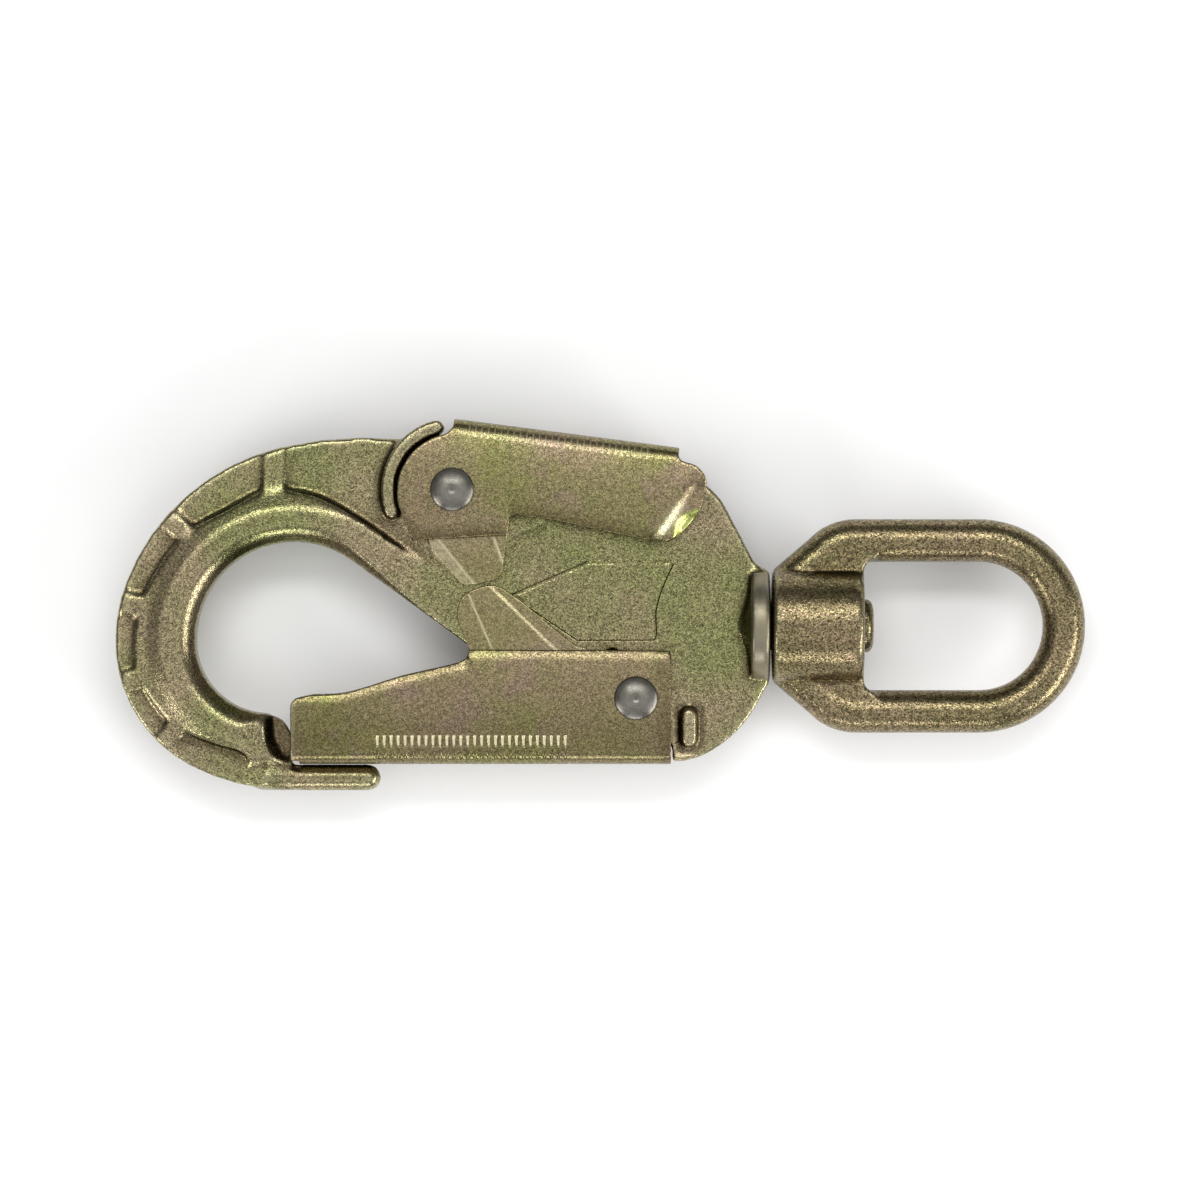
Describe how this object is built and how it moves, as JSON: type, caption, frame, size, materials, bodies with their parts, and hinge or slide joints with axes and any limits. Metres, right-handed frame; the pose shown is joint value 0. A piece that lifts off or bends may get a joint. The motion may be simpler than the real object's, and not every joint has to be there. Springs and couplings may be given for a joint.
{
  "type": "swivel snap hook",
  "caption": "Forged snap hook with a spring gate, a lock lever that must be pressed to open it, and an eye that swivels on the hook's shank.",
  "frame": {"origin": "on the swivel axis, in the middle of the thickness, where the hook's collar faces the eye", "axes": "+X along the swivel axis towards the eye's bow, +Y from the gate towards the lock lever, +Z across the thickness, up when the hook lies flat"},
  "size_m": [0.2189, 0.0839, 0.0258],
  "materials": {
    "forged_steel": "forged and shot blasted, yellow zinc plated, matt olive",
    "sheet_steel": "stamped sheet, yellow zinc plated, satin brownish with a faint iridescence",
    "lock_steel": "stamped sheet, yellow zinc plated, matt",
    "eye_steel": "forged and shot blasted, yellow zinc plated, coarse satin brass brown",
    "rivet_steel": "turned and formed, satin grey",
    "spring_steel": "drawn wire, satin grey",
    "bushing_bronze": "turned"
  },
  "bodies": {
    "body": {"hook_body": "forged_steel", "gate_rivet": "rivet_steel", "gate_bushing": "bushing_bronze", "gate_spring": "spring_steel", "lock_rivet": "rivet_steel", "lock_bushing": "bushing_bronze", "lock_spring": "spring_steel", "thrust_washer": "rivet_steel", "shank_retainer": "eye_steel"},
    "gate": {"gate": "sheet_steel", "gate_lock_plate": "lock_steel"},
    "lever": {"lock_lever": "sheet_steel", "lock_pawl": "lock_steel"},
    "eye": {"swivel_eye": "eye_steel"}
  },
  "joints": [
    {"name": "gate_swing", "type": "hinge", "parent": "body", "child": "gate", "pos_m": [-0.0304, -0.0162, 0], "axis": [0, 0, -1], "range_deg": [0, 19], "stiffness_Nm_per_rad": 0.05, "springref_deg": -40.11, "deforming": ["gate_spring"]},
    {"name": "lever_press", "type": "hinge", "parent": "body", "child": "lever", "pos_m": [-0.0717, 0.0307, 0], "axis": [0, 0, -1], "range_deg": [0, 12], "stiffness_Nm_per_rad": 0.05, "springref_deg": -28.65, "deforming": ["lock_spring"]},
    {"name": "eye_swivel", "type": "hinge", "parent": "body", "child": "eye", "pos_m": [0.01, 0, 0], "axis": [1, 0, 0], "continuous": true}
  ],
  "couplings": [
    {"joint": "lever_press", "follows": "gate_swing", "ratio": 0.63}
  ]
}
